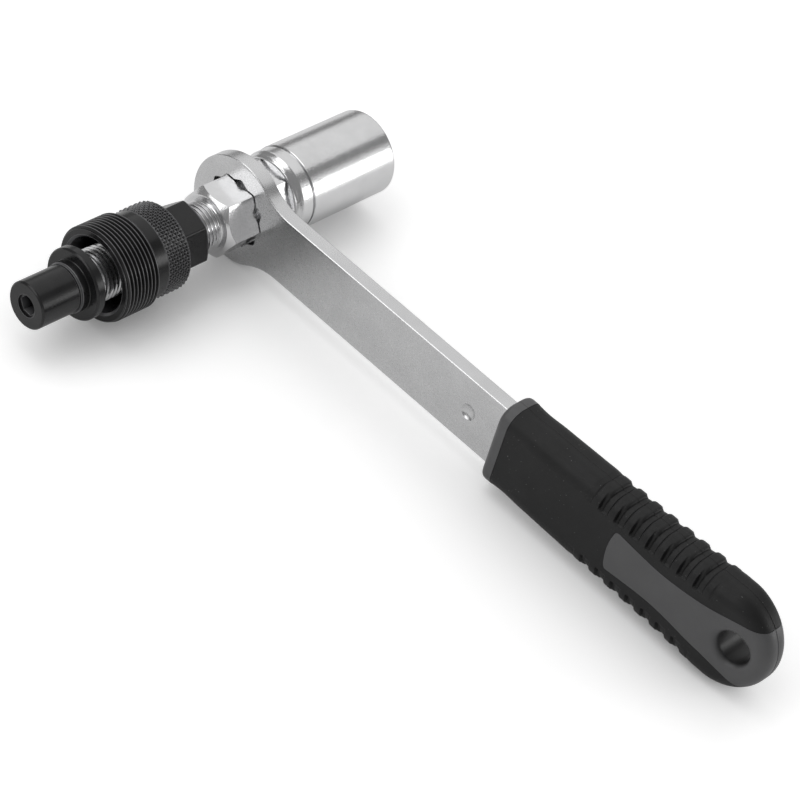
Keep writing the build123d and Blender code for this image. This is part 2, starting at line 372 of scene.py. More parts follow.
def blend_colour(tree, share, first, second):
    """Two colours blended by a value. Each is a triple or a link."""
    inputs = {"Factor": share}
    for key, colour in (("A", first), ("B", second)):
        inputs[key] = (*colour, 1) if isinstance(colour, tuple) else colour
    return node(tree, "ShaderNodeMix", inputs, data_type="RGBA").outputs["Result"]


def bump(tree, height, depth, below=None):
    """A bump of a depth in millimetres, laid over another one if given."""
    inputs = {"Height": height, "Strength": 1.0, "Distance": depth * MM}
    if below:
        inputs["Normal"] = below
    return node(tree, "ShaderNodeBump", inputs).outputs["Normal"]


def metal(name, colour, worn, rough_low, rough_high, grain, grain_depth, lines_depth):
    """Steel with faint turning lines and cloudy gloss, blasted behind the smooth threads."""
    material, tree, bsdf = shader(name)
    cloud = noise(tree, 6.0)
    grit = noise(tree, grain, detail=2.0)
    lines = noise(tree, 0.25, stretch=(0.04, 1, 0.04), detail=2.0)
    along = node(tree, "ShaderNodeSeparateXYZ", {"Vector": object_place(tree)}).outputs["Y"]
    behind_thread = spread(tree, along, 0, 1, shoulder * MM, (shoulder + 1.0) * MM)
    blasted = maths(tree, "MULTIPLY", grit, behind_thread)
    height = maths(tree, "MULTIPLY_ADD", lines, lines_depth / grain_depth, blasted)
    feed(tree, bsdf, {
        "Metallic": 1.0,
        "Base Color": blend_colour(tree, spread(tree, cloud, 0, 1), colour, worn),
        "Roughness": spread(tree, grit, rough_low, rough_high),
        "Normal": bump(tree, height, grain_depth),
    })
    return material


def black_oxide():
    """Lightly oiled black oxide on turned steel, with edges and crests lighter by wear and painted
    highlight.
    """
    material, tree, bsdf = shader("black_oxide")
    cloud = noise(tree, 4.0)
    grit = noise(tree, 0.22, detail=2.0)
    lines = noise(tree, 0.3, stretch=(0.05, 1, 0.05), detail=2.0)
    black = blend_colour(tree, spread(tree, cloud, 0, 1), (0.010, 0.010, 0.0105), (0.016, 0.016, 0.0165))
    slight_bend = 24
    sharp_bend = 46
    outward_bend = node(tree, "ShaderNodeAttribute", attribute_name="worn").outputs["Fac"]
    # Lighter edges and crests: partly wear to bare steel, partly a painted highlight for the glints on
    # the knurl and threads.
    worn = spread(tree, outward_bend, 0, 1, slight_bend, sharp_bend)
    feed(tree, bsdf, {
        "IOR": 1.41,
        "Base Color": blend_colour(tree, worn, black, (0.15, 0.15, 0.155)),
        "Roughness": spread(tree, grit, 0.18, 0.27),
        "Normal": bump(tree, lines, 0.006, bump(tree, grit, 0.008)),
    })
    return material


def moulded(name, dark, light, gloss, rough_low, rough_high, grain, grain_depth, dust=0, hollow=0):
    """Moulded plastic or rubber with a fine texture.

    dust is how strongly its specks of dust show, and hollow is the distance in millimetres within
    which a painted shade darkens facing walls, such as those inside the hanging hole.
    """
    material, tree, bsdf = shader(name)
    cloud = noise(tree, 5.0)
    grit = noise(tree, grain, detail=4.0, roughness=0.6)
    base = blend_colour(tree, spread(tree, cloud, 0, 1), dark, light)
    if dust:
        specks = spread(tree, noise(tree, 0.5, detail=1.0), 0, dust, 0.74, 0.8)
        base = blend_colour(tree, specks, base, (0.2, 0.2, 0.2))
    if hollow:
        # Painted shade: ambient occlusion turns the colour towards near black where facing walls are
        # close.
        painted_shade = node(tree, "ShaderNodeAmbientOcclusion", {"Distance": hollow * MM}).outputs["AO"]
        base = blend_colour(tree, spread(tree, painted_shade, 0, 1, 0.45, 0.9), (0.012, 0.012, 0.012), base)
    feed(tree, bsdf, {
        "Specular IOR Level": gloss,
        "Base Color": base,
        "Roughness": spread(tree, grit, rough_low, rough_high),
        "Normal": bump(tree, grit, grain_depth),
    })
    return material


finishes = {
    "plated_steel": metal(
        "plated_steel", (0.74, 0.74, 0.745), (0.68, 0.68, 0.685), 0.15, 0.24,
        grain=0.4, grain_depth=0.03, lines_depth=0.003,
    ),
    "satin_steel": metal(
        "satin_steel", (0.67, 0.67, 0.675), (0.62, 0.62, 0.625), 0.22, 0.31,
        grain=0.26, grain_depth=0.009, lines_depth=0,
    ),
    "spring_steel": metal(
        "spring_steel", (0.45, 0.45, 0.46), (0.38, 0.38, 0.39), 0.25, 0.35,
        grain=0.1, grain_depth=0.002, lines_depth=0,
    ),
    "black_oxide_steel": black_oxide(),
    # The grey plastic gets painted shade in its hollows, such as the hanging hole.
    "grey_plastic": moulded(
        "grey_plastic", (0.097, 0.097, 0.099), (0.107, 0.107, 0.109), 0.4, 0.34, 0.44,
        grain=0.18, grain_depth=0.012, hollow=9,
    ),
    "black_rubber": moulded(
        "black_rubber", (0.011, 0.011, 0.0112), (0.015, 0.015, 0.0153), 0.3, 0.42, 0.58,
        grain=0.14, grain_depth=0.02, dust=0.5,
    ),
}


# Puller nut: outer thread, smooth band, diamond knurl and hexagon on one spoke grid

def crank_blank(station):
    """The chamfered blank that the outer thread is cut on."""
    front = crank_thread_front_radius + (station - nut_front)
    rear = band_radius + 2 * (crank_thread_end - station)
    return max(min(crank_thread_radius, front, rear), band_radius)


def knurl_row(station):
    """A row of the diamond knurl: two crossed families of grooves, flattened at the tops."""

    def wave(value):
        share = value % 1.0
        return 2 * min(share, 1.0 - share)

    def point(angle):
        around = (angle - nut_turn) * knurl_count / 360.0
        along = (station - knurl_start) / knurl_pitch
        height = min(wave(around + along), wave(around - along), knurl_flat_top) / knurl_flat_top
        from_end = min(station - knurl_start, knurl_end - station)
        blank = knurl_radius - knurl_chamfer + min(from_end, knurl_chamfer)
        return min(knurl_radius - knurl_depth * (1.0 - height), blank), station

    return point


def make_nut():
    """The puller nut as one closed turned mesh."""
    thread = thread_rows(
        crank_thread_radius, crank_thread_depth, crank_thread_pitch,
        nut_front, crank_thread_end, crank_blank, fine_steps,
    )
    eighth = knurl_pitch / 8
    count = ceil((knurl_end - knurl_start) / eighth)
    stations = [min(knurl_start + i * eighth, knurl_end) for i in range(count + 1)]
    slope = tan(radians(30))
    floor_round = 0.25
    mouth_bevel = 0.5
    small_round = 0.12
    bore_bevel = 0.45
    beside = 0.15

    def side(station, extra=0.0):
        return lambda angle: (hexagon(nut_flats, angle, nut_turn, nut_corner_radius) + extra, station)

    def crease(angle):
        radius = hexagon(nut_flats, angle, nut_turn, nut_corner_radius)
        return radius, nut_rear - slope * (radius - nut_flats / 2 + small_round) - 0.02

    front = [
        (nut_bore_radius, recess_floor),
        (recess_radius - floor_round, recess_floor),
        (recess_radius, recess_floor - floor_round),
        (recess_radius, nut_front + mouth_bevel),
        (recess_radius + mouth_bevel, nut_front),
        (recess_radius + mouth_bevel + 0.4, nut_front),
        (crank_thread_front_radius - 0.25, nut_front),
        (crank_thread_front_radius - 0.06, nut_front),
    ]
    middle = [
        (band_radius, crank_thread_end + 0.06),
        (band_radius, crank_thread_end + 0.2),
        (band_radius, knurl_start - 2 * beside),
        (band_radius, knurl_start - 2 * knurl_relief),
        (band_radius - knurl_relief, knurl_start - knurl_relief),
        (band_radius - knurl_relief, knurl_start),
    ]
    rear = [
        side(knurl_end, small_round),
        side(knurl_end + small_round),
        side(knurl_end + 2 * beside),
        side(nut_rear - 0.85),
        crease,
        (nut_flats / 2 - small_round, nut_rear),
        (nut_flats / 2 - small_round - beside, nut_rear),
        (nut_bore_radius + bore_bevel + beside, nut_rear),
        (nut_bore_radius + bore_bevel, nut_rear),
        (nut_bore_radius, nut_rear - bore_bevel),
        (nut_bore_radius, recess_floor),
    ]
    knurl = [knurl_row(station) for station in stations]
    rows = front + thread + middle + knurl + rear
    first = len(front) + len(thread) + len(middle)
    last = first + len(knurl) - 1

    def split(i, j):
        """The diagonals of the knurl's cells follow its ridges, and other cells have none."""
        if first <= i < last:
            return (i - first + j + 1) % 4 == 0
        return None

    points, faces = turned(rows, 360, nut_turn, split)
    build("puller_nut_detail", points, faces, "puller_nut", "black_oxide_steel", ["puller_nut"])


# Spindle: fine thread, undercut, coned shoulder and driving hexagon

def make_spindle():
    """The spindle as one closed turned mesh."""
    thread_end = shoulder - undercut_length
    full_corner_radius = drive_flats / 2 / cos(radians(30))
    slope = shoulder_cone_length / (full_corner_radius - shoulder_radius)
    front_bevel = 0.6
    end_bevel = 0.4
    end_cone = 0.6
    bore_radius = shank_radius + shank_gap
    groove_start = ring_station - groove_half_width
    groove_end = ring_station + groove_half_width

    def blank(station):
        front = spindle_thread_radius - front_bevel + (station - spindle_start)
        return min(spindle_thread_radius, front)

    thread = thread_rows(
        spindle_thread_radius, spindle_thread_depth, spindle_thread_pitch,
        spindle_start, thread_end, blank, coarse_steps,
    )

    def crease(angle):
        radius = hexagon(drive_flats, angle, 0.0, drive_corner_radius)
        return radius, shoulder + slope * (radius - shoulder_radius)

    def end_crease(angle):
        radius = hexagon(drive_flats, angle, 0.0, drive_corner_radius)
        return radius, drive_end - end_cone - (radius - drive_flats / 2) * 0.5

    bore = [
        (0, shank_end + 2.0),
        (bore_radius, shank_end + 0.1),
        (bore_radius, groove_end),
        (bore_groove_radius, groove_end),
        (bore_groove_radius, groove_start),
        (bore_radius, groove_start),
        (bore_radius, spindle_start + 0.2),
        (bore_radius + 0.2, spindle_start),
        (spindle_thread_radius - front_bevel - 0.1, spindle_start),
    ]
    shoulder_rows = [
        (undercut_radius, thread_end + undercut_ramp),
        (undercut_radius, shoulder - 0.15),
        (undercut_radius + 0.15, shoulder),
        (shoulder_radius - 0.35, shoulder),
        (shoulder_radius - 0.1, shoulder + 0.02),
        (shoulder_radius + 0.05, shoulder + 0.1),
        crease,
        end_crease,
        (drive_flats / 2 - end_bevel, drive_end),
        (0, drive_end),
    ]
    points, faces = turned(bore + thread + shoulder_rows, 120)
    build("spindle_detail", points, faces, "spindle", "plated_steel", ["spindle"])


# Swivelling tip: the nose screw and the disc that it screws into

def rim(radius, face, side):
    """Rows from a flat face over a softened bevel to the wall, which runs to side 1 or -1 along Y."""
    size = 0.35
    soft = 0.03
    return [
        (radius - size - 0.2, face),
        (radius - size - 0.05, face),
        (radius - size + soft, face + side * soft),
        (radius - soft, face + side * (size - soft)),
        (radius, face + side * (size + 0.05)),
        (radius, face + side * (size + 0.2)),
    ]


def make_nose():
    """The nose screw with its key hole, its lip and its stud."""
    lip_start = nose_end + 0.2
    lip_end = lip_start + 0.2

    def key(station, extra=0.0):
        return lambda angle: (hexagon(key_flats, angle) + extra, station)

    front = [
        (0, nose_front + key_depth + 0.8),
        key(nose_front + key_depth),
        key(nose_front + 0.75),
        key(nose_front + 0.7, 0.05),
        (key_mouth_radius, nose_front + 0.62),
        (key_mouth_radius, nose_front + 0.18),
        (key_mouth_radius + 0.05, nose_front + 0.06),
        (key_mouth_radius + 0.18, nose_front),
        (key_mouth_radius + 0.33, nose_front),
    ]
    rear = [
        (nose_radius, nose_end - 0.23),
        (nose_radius, nose_end - 0.08),
        (nose_radius - 0.08, nose_end),
        (nose_neck_radius, nose_end),
        (nose_neck_radius, lip_start),
        (nose_lip_radius - 0.05, lip_start),
        (nose_lip_radius, lip_start + 0.05),
        (nose_lip_radius, lip_end - 0.05),
        (nose_lip_radius - 0.05, lip_end),
        (nose_neck_radius, lip_end),
        (nose_neck_radius, hub_front),
        (stud_radius, hub_front),
        (stud_radius, hub_front + stud_length),
        (0, hub_front + stud_length),
    ]
    points, faces = turned(front + rim(nose_radius, nose_front, 1) + rear, 120)
    build("nose_screw_detail", points, faces, "swivel_tip", "black_oxide_steel", ["nose_screw"])


def make_disc():
    """The disc with its hub, its tapped hole and the shank that swivels in the spindle."""
    hole_end = hub_front + stud_length + 0.6
    hub_round = 0.12
    hub_fillet = 0.15
    groove_start = ring_station - groove_half_width
    groove_end = ring_station + groove_half_width
    hub = [
        (0, hole_end),
        (stud_radius, hole_end),
        (stud_radius, hub_front + 0.2),
        (stud_radius + 0.2, hub_front),
        (hub_radius - hub_round, hub_front),
        (hub_radius, hub_front + hub_round),
        (hub_radius, hub_front + hub_round + 0.15),
        (hub_radius, disc_front - 2 * hub_fillet),
        (hub_radius, disc_front - hub_fillet),
        (hub_radius + hub_fillet, disc_front),
        (hub_radius + 2 * hub_fillet, disc_front),
    ]
    shank = [
        (shank_radius + 0.1, disc_back),
        (shank_radius, disc_back + 0.1),
        (shank_radius, groove_start),
        (shank_groove_radius, groove_start),
        (shank_groove_radius, groove_end),
        (shank_radius, groove_end),
        (shank_radius, shank_end - 0.4),
        (shank_radius - 0.4, shank_end),
        (0, shank_end),
    ]
    front_edge = rim(disc_radius, disc_front, 1)
    back_edge = list(reversed(rim(disc_radius, disc_back, -1)[1:]))
    points, faces = turned(hub + front_edge + back_edge + shank, 144)
    build("adapter_disc_detail", points, faces, "swivel_tip", "black_oxide_steel", ["adapter_disc"])


# Socket: coned front, collar, turned groove, barrel and hexagonal mouth

def arc_rows(radius, station, size, first, last, steps):
    """Rows along a rounded edge about a (radius, station) centre, between two angles."""
    rows = []
    for i in range(steps + 1):
        angle = radians(first + (last - first) * i / steps)
        rows.append((radius + size * cos(angle), station + size * sin(angle)))
    return rows


def make_socket():
    """The socket as one closed turned mesh."""
    gap_floor = socket_start + lip_gap_depth
    round_centre = socket_start + 2.25
    groove_start = socket_start + 4.9
    groove_end = socket_start + 5.3
    end_round = 0.6
    mouth_radius = 8.5
    floor_radius = 6.4
    floor_depth = 1.2

    def drive(station):
        return lambda angle: (hexagon(drive_flats, angle), station)

    def mouth(angle):
        radius = hexagon(bolt_flats, angle)
        return radius, socket_end - 0.25 - (mouth_radius - radius) * 0.35

    rows = [
        (0, drive_end),
        drive(drive_end),
        drive(gap_floor),
        (lip_radius - 0.005, gap_floor),
        (lip_radius - 0.005, socket_start + 0.1),
        (lip_radius + 0.1, socket_start),
        (lip_radius + 0.16, socket_start),
        (lip_radius + 0.4, socket_start + 0.12),
        (lip_radius + 0.6, socket_start + 0.3),
        (lip_radius + 0.78, socket_start + 0.8),
    ]
    rows += arc_rows(collar_radius - collar_round, round_centre, collar_round, -38, 0, 8)
    rows += [
        (collar_radius, socket_start + 2.7),
        (collar_radius, groove_start - 0.12),
        (collar_radius - 0.1, groove_start),
        (collar_groove_radius, groove_start + 0.02),
        (collar_groove_radius, groove_end - 0.02),
        (socket_radius - 0.14, groove_end),
        (socket_radius, groove_end + 0.14),
        (socket_radius, groove_end + 0.4),
        (socket_radius, socket_end - end_round - 0.3),
    ]
    rows += arc_rows(socket_radius - end_round, socket_end - end_round, end_round, 0, 90, 6)
    rows += [
        (9.2, socket_end),
        (mouth_radius, socket_end),
        (mouth_radius - 0.1, socket_end - 0.05),
        mouth,
        lambda angle: (hexagon(bolt_flats, angle), mouth_floor),
        (floor_radius, mouth_floor),
        (floor_radius - floor_depth, mouth_floor - floor_depth),
        (0, mouth_floor - floor_depth),
    ]
    points, faces = turned(rows, 180)
    build("socket_detail", points, faces, "spindle", "plated_steel", ["socket"])


# Outlines in the plane of the wrench

def arc(centre, radius, first, last, steps):
    """Points along an arc in the wrench's plane, angles in degrees from +X toward +Z."""
    found = []
    for i in range(steps + 1):
        angle = radians(first + (last - first) * i / steps)
        found.append((centre[0] + radius * cos(angle), centre[1] + radius * sin(angle)))
    return found


def inward(loop):
    """Inward directions of a closed loop that runs anticlockwise, lengthened at its corners."""
    found = []
    count = len(loop)
    for i in range(count):
        ax, az = loop[i - 1]
        bx, bz = loop[i]
        cx, cz = loop[(i + 1) % count]
        first = Vector((bx - ax, bz - az)).normalized()
        second = Vector((cx - bx, cz - bz)).normalized()
        normal = Vector((-first.y - second.y, first.x + second.x)).normalized()
        reach = max(normal.dot(Vector((-first.y, first.x))), 0.5)
        found.append((normal.x / reach, normal.y / reach))
    return found


def inset(loop, amount):
    """The loop moved inward by an amount."""
    return [(x + dx * amount, z + dz * amount) for (x, z), (dx, dz) in zip(loop, inward(loop))]


def rounded_profile(front, back, size, steps=4):
    """Pairs of inset and station that round both edges of a plate."""
    pairs = []
    for i in range(steps + 1):
        angle = radians(90 * i / steps)
        pairs.append((size * (1 - sin(angle)), front + size * (1 - cos(angle))))
    for i in range(steps + 1):
        angle = radians(90 - 90 * i / steps)
        pairs.append((size * (1 - sin(angle)), back - size * (1 - cos(angle))))
    return pairs


def walls(loop, pairs):
    """Points and faces of a wall that follows a closed loop through pairs of inset and station."""
    rows = []
    for amount, station in pairs:
        line = [(x, station, z) for x, z in inset(loop, amount)]
        rows.append(line + line[:1])
    return [point for row in rows for point in row], joined(rows)


def cap(loops, station):
    """Points and faces of a flat cap with holes."""
    flat = [[Vector((x, z, 0)) for x, z in loop] for loop in loops]
    points = [(x, station, z) for loop in loops for x, z in loop]
    return points, [tuple(face) for face in tessellate_polygon(flat)]


def gather(*parts):
    """One list of points and one of faces from several."""
    points = []
    faces = []
    for more_points, more_faces in parts:
        offset = len(points)
        points += more_points
        faces += [tuple(index + offset for index in face) for face in more_faces]
    return points, faces


def wrench_outline():
    """Ring, neck and bar, anticlockwise, with the tang that runs into the grip."""
    reach = ring_radius + neck_fillet
    height = wrench_half_width + neck_fillet
    neck = sqrt(reach**2 - height**2)
    meet = degrees(atan2(height, neck))
    upper = arc((neck, height), neck_fillet, 270, 180 + meet, 16)
    ring = arc((0, 0), ring_radius, meet, 360 - meet, 120)
    lower = arc((neck, -height), neck_fillet, 180 - meet, 90, 16)
    tang = [
        (collar_end, -wrench_half_width),
        (collar_end, -tang_half_width),
        (tang_end, -tang_half_width),
        (tang_end, tang_half_width),
        (collar_end, tang_half_width),
        (collar_end, wrench_half_width),
    ]
    return upper + ring[1:-1] + lower + tang


def ring_outline():
    """The twelve-point hole, anticlockwise, with its corners broken."""
    points = []
    for corner in range(0, 360, 30):
        for turn in (-2.0, 2.0, 15.0):
            radius = ring_flats / 2 / cos(radians(30 - abs(turn)))
            angle = radians(corner + turn)
            points.append((radius * cos(angle), radius * sin(angle)))
    return points


def make_dimple():
    """The outline of the dimple in the bar's face, and its bowl, a cap of a ball."""
    spokes = 48
    steps = 8
    centre = (dimple_place, 0)
    ball_radius = (dimple_radius**2 + dimple_depth**2) / (2 * dimple_depth)
    slope = asin(dimple_radius / ball_radius)
    rows = []
    for step in range(steps + 1):
        angle = slope * (1 - step / steps)
        depth = ball_radius * (cos(angle) - cos(slope))
        ring = arc(centre, ball_radius * sin(angle), 0, 360, spokes)
        rows.append([(x, wrench_front + depth, z) for x, z in ring])
    outline = arc(centre, dimple_radius, 0, 360, spokes)[:-1]
    return outline, ([point for row in rows for point in row], joined(rows))


def make_wrench():
    """The ring wrench with rounded edges, its twelve-point hole and the dimple in its face."""
    back = wrench_front + wrench_thickness
    edge_round = 0.3
    hole_round = 0.14
    outline = wrench_outline()
    hole = ring_outline()
    inward_profile = rounded_profile(wrench_front, back, edge_round)
    hole_profile = rounded_profile(wrench_front, back, hole_round, 2)
    outward_profile = [(-amount, station) for amount, station in hole_profile]
    front_outline = inset(outline, edge_round)
    front_hole = inset(hole, -hole_round)
    dimple, bowl = make_dimple()
    points, faces = gather(
        walls(outline, inward_profile),
        walls(hole, outward_profile),
        bowl,
        cap([front_outline, front_hole, dimple], wrench_front),
        cap([front_outline, front_hole], back),
    )
    build("wrench_detail", points, faces, "wrench", "satin_steel", ["wrench"])


# Grip: one moulded form, split into the hard core and the ribbed rubber sleeve

def ease(value):
    """A smooth step from 0 to 1."""
    share = min(max(value, 0.0), 1.0)
    return share * share * (3 - 2 * share)


def half_thickness(x):
    """Half the thickness of the grip, thinning to its tail."""
    slope = thinning / (grip_end - thinning_start)
    away = x - thinning_start
    blend = 2.5
    if away <= -blend:
        return grip_half_thickness
    if away >= blend:
        return grip_half_thickness - slope * away
    return grip_half_thickness - slope * (away + blend) ** 2 / (4 * blend)


def half_height(x):
    """Half the height of the plain grip, widening to its tail."""
    rise = (x - grip_straight_end) / (tail_centre - grip_straight_end)
    return grip_half_height + max(rise, 0.0) * (tail_radius - grip_half_height)


def corner_round(x):
    """Radius of the grip's long edges."""
    for (start, first), (end, last) in zip(corner_rounds, corner_rounds[1:]):
        if x <= end:
            return first + (last - first) * max(x - start, 0.0) / (end - start)
    return corner_rounds[-1][1]


def rib_share(x):
    """How strongly the ribs show along the grip."""
    return ease((x - ribs_start) / ribs_fade) * ease((ribs_end - x) / ribs_fade)


def rib_depth(x):
    """Depth of the ribs on the narrow side: convex lobes, with a creased ledge between them."""
    lobe_start_height = 0.42
    crease_depth = 0.09
    share = ((x - first_slot) / slot_pitch) % 1.0
    if share < ledge_end or share > lobe_end:
        along = (share + 1.0 - lobe_end) % 1.0
        crease = crease_depth * max(0.0, 1 - abs(along - 0.31) / 0.025)
        return rib_height - 0.5 * along + crease
    rise = min((share - ledge_end) / 0.12, 1.0)
    fall = max((share - 0.78) / (lobe_end - 0.78), 0.0)
    return (
        lobe_start_height * (1 - sqrt(1 - (1 - rise) ** 2))
        + rib_height * (1 - sqrt(max(1 - fall**2, 0.0)))
    )


def pit_depth(x):
    """Extra depth of the pits that end the lobes at the grip's corners."""
    deepest = 0.95
    share = ((x - first_slot) / slot_pitch + 0.5) % 1.0 - 0.5
    return deepest * ease((share + 0.285) / 0.06) * ease((-0.018 - share) / 0.035)


def hollow_depth(x):
    """Depth of the shallow hollow behind the collar."""
    deepest = 0.22
    start = 84.5
    end = 94.5
    return deepest * ease((x - start) / 4.5) * ease((end - x) / 5.0)


def grip_places():
    """Places along the straight part of the grip, close together where the ribs turn sharply."""
    places = [grip_start + front_round * (1 - cos(radians(15 * i))) for i in range(7)]
    places += [84.8, 85.6, 86.0, 86.4, 87.0, 88.0, 89.0, 90.0, 91.0, 92.5, 94.0, 97.0, 100.0, 103.0]
    places += [105.0, 106.3]
    shares = (
        0.03, 0.09, 0.15, 0.21, 0.26, 0.285, 0.3, 0.304, 0.315, 0.335, 0.36, 0.39, 0.42,
        0.5, 0.6, 0.68, 0.714, 0.735, 0.755, 0.775, 0.81, 0.85, 0.89, 0.925, 0.947, 0.96, 0.972, 0.982,
    )
    for slot in range(-2, 9):
        for share in shares:
            x = first_slot + (slot + share) * slot_pitch
            if places[-1] + 0.02 < x < tail_centre - 0.02:
                places.append(x)
    return places + [tail_centre]


def section_rows():
    """Rows over half a section: kind, place and shares of the ribs' and the pits' depth.

    The place is a share of the flat face, millimetres before the round, degrees on the round, a
    share of the flat side, or millimetres from the parting line.
    """
    rows = [("face", share, 0, 0) for share in (0, 0.25, 0.5, 0.75, 1.0)]
    rows += [("edge", 0.8, 0, 0), ("edge", 0.6, 0, 0), ("edge", 0.45, 0.08, 0.05)]
    rows += [("edge", 0.3, 0.4, 0.35), ("edge", 0.15, 0.8, 0.75)]
    pits = (0.9, 1.0, 1.0, 1.0, 0.85, 0.5, 0.15, 0, 0, 0, 0)
    rows += [("round", 9 * step, 1.0 if step else 0.92, pits[step]) for step in range(11)]
    rows += [("side", share, 1, 0) for share in (0.75, 0.5, 0.25)]
    rows += [("parting", 0.16, 1, 0), ("parting", parting_half_width, 1, 0)]
    return rows


def section_point(row, reach, place_at, depth):
    """Distance from the spine and from the middle plane, for one row of a section."""
    kind, place = row[:2]
    size = corner_round(place_at(reach))
    if kind == "face":
        far = place * (reach - size - 1.0)
        return far, half_thickness(place_at(far)) - depth
    if kind == "edge":
        far = reach - size - place
        return far, half_thickness(place_at(far)) - depth
    if kind == "round":
        angle = radians(place)
        far = reach - size + (size - depth) * sin(angle)
        return far, half_thickness(place_at(far)) - size + (size - depth) * cos(angle)
    if kind == "side":
        far = reach - depth
        return far, place * (half_thickness(place_at(far)) - size)
    groove = parting_depth if place <= parting_half_width else 0
    return reach - depth - groove, place


def grip_form(ribbed):
    """The whole moulded form, with ribs for the sleeve or plain for the core."""
    half_rows = section_rows()
    rows = [(row, 1) for row in half_rows] + [(("parting", 0.0, 1, 0), 1)]
    rows += [(row, -1) for row in reversed(half_rows)]
    places = grip_places()
    stations = [(x, 0.0, 1.0) for x in places]
    stations += [(tail_centre, sin(radians(4 * i)), cos(radians(4 * i))) for i in range(1, 45)]
    stations += [(x, 0.0, -1.0) for x in reversed(places)]
    grid = []
    for row, sign in rows:
        line = []
        for centre, along, up in stations:
            reach = half_height(centre)
            into = max(0.0, grip_start + front_round - centre)
            depth = front_round - sqrt(max(front_round**2 - into**2, 0.0))
            if ribbed:
                depth += hollow_depth(centre)
            if ribbed and not along:
                ribs = row[2] * rib_depth(centre) + row[3] * pit_depth(centre)
                depth += rib_share(centre) * ribs
            far, away = section_point(row, reach, lambda far: centre + along * far, depth)
            line.append((centre + along * far, wrench_middle - sign * away, up * far))
        grid.append(line)
    points = [point for line in grid for point in line]
    return points, joined(grid) + [end_face(points, len(rows), len(stations))]


def end_face(points, rows, columns):
    """The flat face at the grip's front, without points that fall together."""
    nearest = 0.003
    ring = [row * columns for row in range(rows)]
    ring += [row * columns + columns - 1 for row in reversed(range(rows))]

    def distance(first, second):
        return (Vector(points[first]) - Vector(points[second])).length

    kept = []
    for index in ring:
        if not kept or distance(index, kept[-1]) > nearest:
            kept.append(index)
    if distance(kept[0], kept[-1]) < nearest:
        kept.pop()
    return tuple(kept)


def combine(piece, other, operation):
    """Join, cut or intersect a solid with another one, which is used up."""
    change = piece.modifiers.new("change", "BOOLEAN")
    change.operation = operation
    change.solver = "MANIFOLD"
    change.object = other
    depsgraph = bpy.context.evaluated_depsgraph_get()
    mesh = bpy.data.meshes.new_from_object(piece.evaluated_get(depsgraph))
    piece.modifiers.clear()
    piece.data = mesh
    bpy.data.objects.remove(other)
    return piece


def prism(name, loop, low, high):
    """A closed prism over a loop in the wrench's plane."""
    return solid(name, *gather(walls(loop, [(0, low), (0, high)]), cap([loop], low), cap([loop], high)))


def smooth_line(points, steps=10):
    """A smooth line through points."""
    found = []
    for i in range(len(points) - 1):
        before = Vector(points[max(i - 1, 0)])
        start = Vector(points[i])
        end = Vector(points[i + 1])
        after = Vector(points[min(i + 2, len(points) - 1)])
        for step in range(steps):
            t = step / steps
            first = (end - before) / 2
            last = (after - start) / 2
            place = (
                start * (2 * t**3 - 3 * t**2 + 1) + first * (t**3 - 2 * t**2 + t)
                + end * (3 * t**2 - 2 * t**3) + last * (t**3 - t**2)
            )
            found.append((place.x, place.y))
    return found + [tuple(points[-1])]


def bend(start, middle, end, steps=6):
    """A curve from start to end, drawn toward a middle point."""
    found = []
    for step in range(steps + 1):
        t = step / steps
        x = start[0] * (1 - t) ** 2 + 2 * middle[0] * t * (1 - t) + end[0] * t**2
        z = start[1] * (1 - t) ** 2 + 2 * middle[1] * t * (1 - t) + end[1] * t**2
        found.append((x, z))
    return found


def panel_outline():
    """The panel that shows on each face, anticlockwise, running out past the tail."""
    side = smooth_line(panel_points)
    bow = 0.45
    height = panel_tip_half_height
    corner = bend((panel_tip + bow, height), (panel_tip + 0.75, 5.35), side[1])
    tip = [(panel_tip + bow * (z / height) ** 2, z) for z in (0.0, 1.3, 2.6)]
    upper = tip + corner + side[2:]
    lower = [(x, -z) for x, z in upper[1:]]
    return lower + upper[::-1]


def rectangle(start, end, half):
    """A rectangle in the wrench's plane, anticlockwise."""
    return [(start, -half), (end, -half), (end, half), (start, half)]


def core_zone(grow):
    """Where the core is: collar, the bar inside the sleeve and the panels with the tail."""
    outside = 14.0
    low = wrench_middle - 8
    high = wrench_middle + 8
    zone = prism("zone", rectangle(80.0, collar_end + grow, outside), low, high)
    bar = rectangle(85.0, 150.0, core_half_height + grow)
    inner = core_half_thickness + grow
    combine(zone, prism("bar", bar, wrench_middle - inner, wrench_middle + inner), "UNION")
    panel = inset(panel_outline(), -grow) if grow else panel_outline()
    return combine(zone, prism("panel", panel, low, high), "UNION")


def hole_cutter():
    """The hanging hole with its rounded mouth, following the slope of both faces."""
    spokes = 72
    steps = 8
    rows = []
    for sign in (-1, 1):
        side = []
        flare = [(hole_radius + mouth_round + 0.02, -3.0)]
        for step in range(steps + 1):
            angle = radians(90 * step / steps)
            radius = hole_radius + mouth_round * (1 - sin(angle))
            flare.append((radius, mouth_round * (1 - cos(angle))))
        for radius, depth in flare:
            line = []
            for j in range(spokes + 1):
                angle = radians(360 * j / spokes)
                x = hole_place + radius * cos(angle)
                station = wrench_middle + sign * (half_thickness(x) - depth)
                line.append((x, station, radius * sin(angle)))
            side.append(line)
        rows += side if sign < 0 else side[::-1]
    points = [point for row in rows for point in row]
    faces = joined(rows)
    faces.append(tuple(range(spokes)))
    faces.append(tuple(range(len(points) - spokes - 1, len(points) - 1)))
    return solid("hole", points, faces)


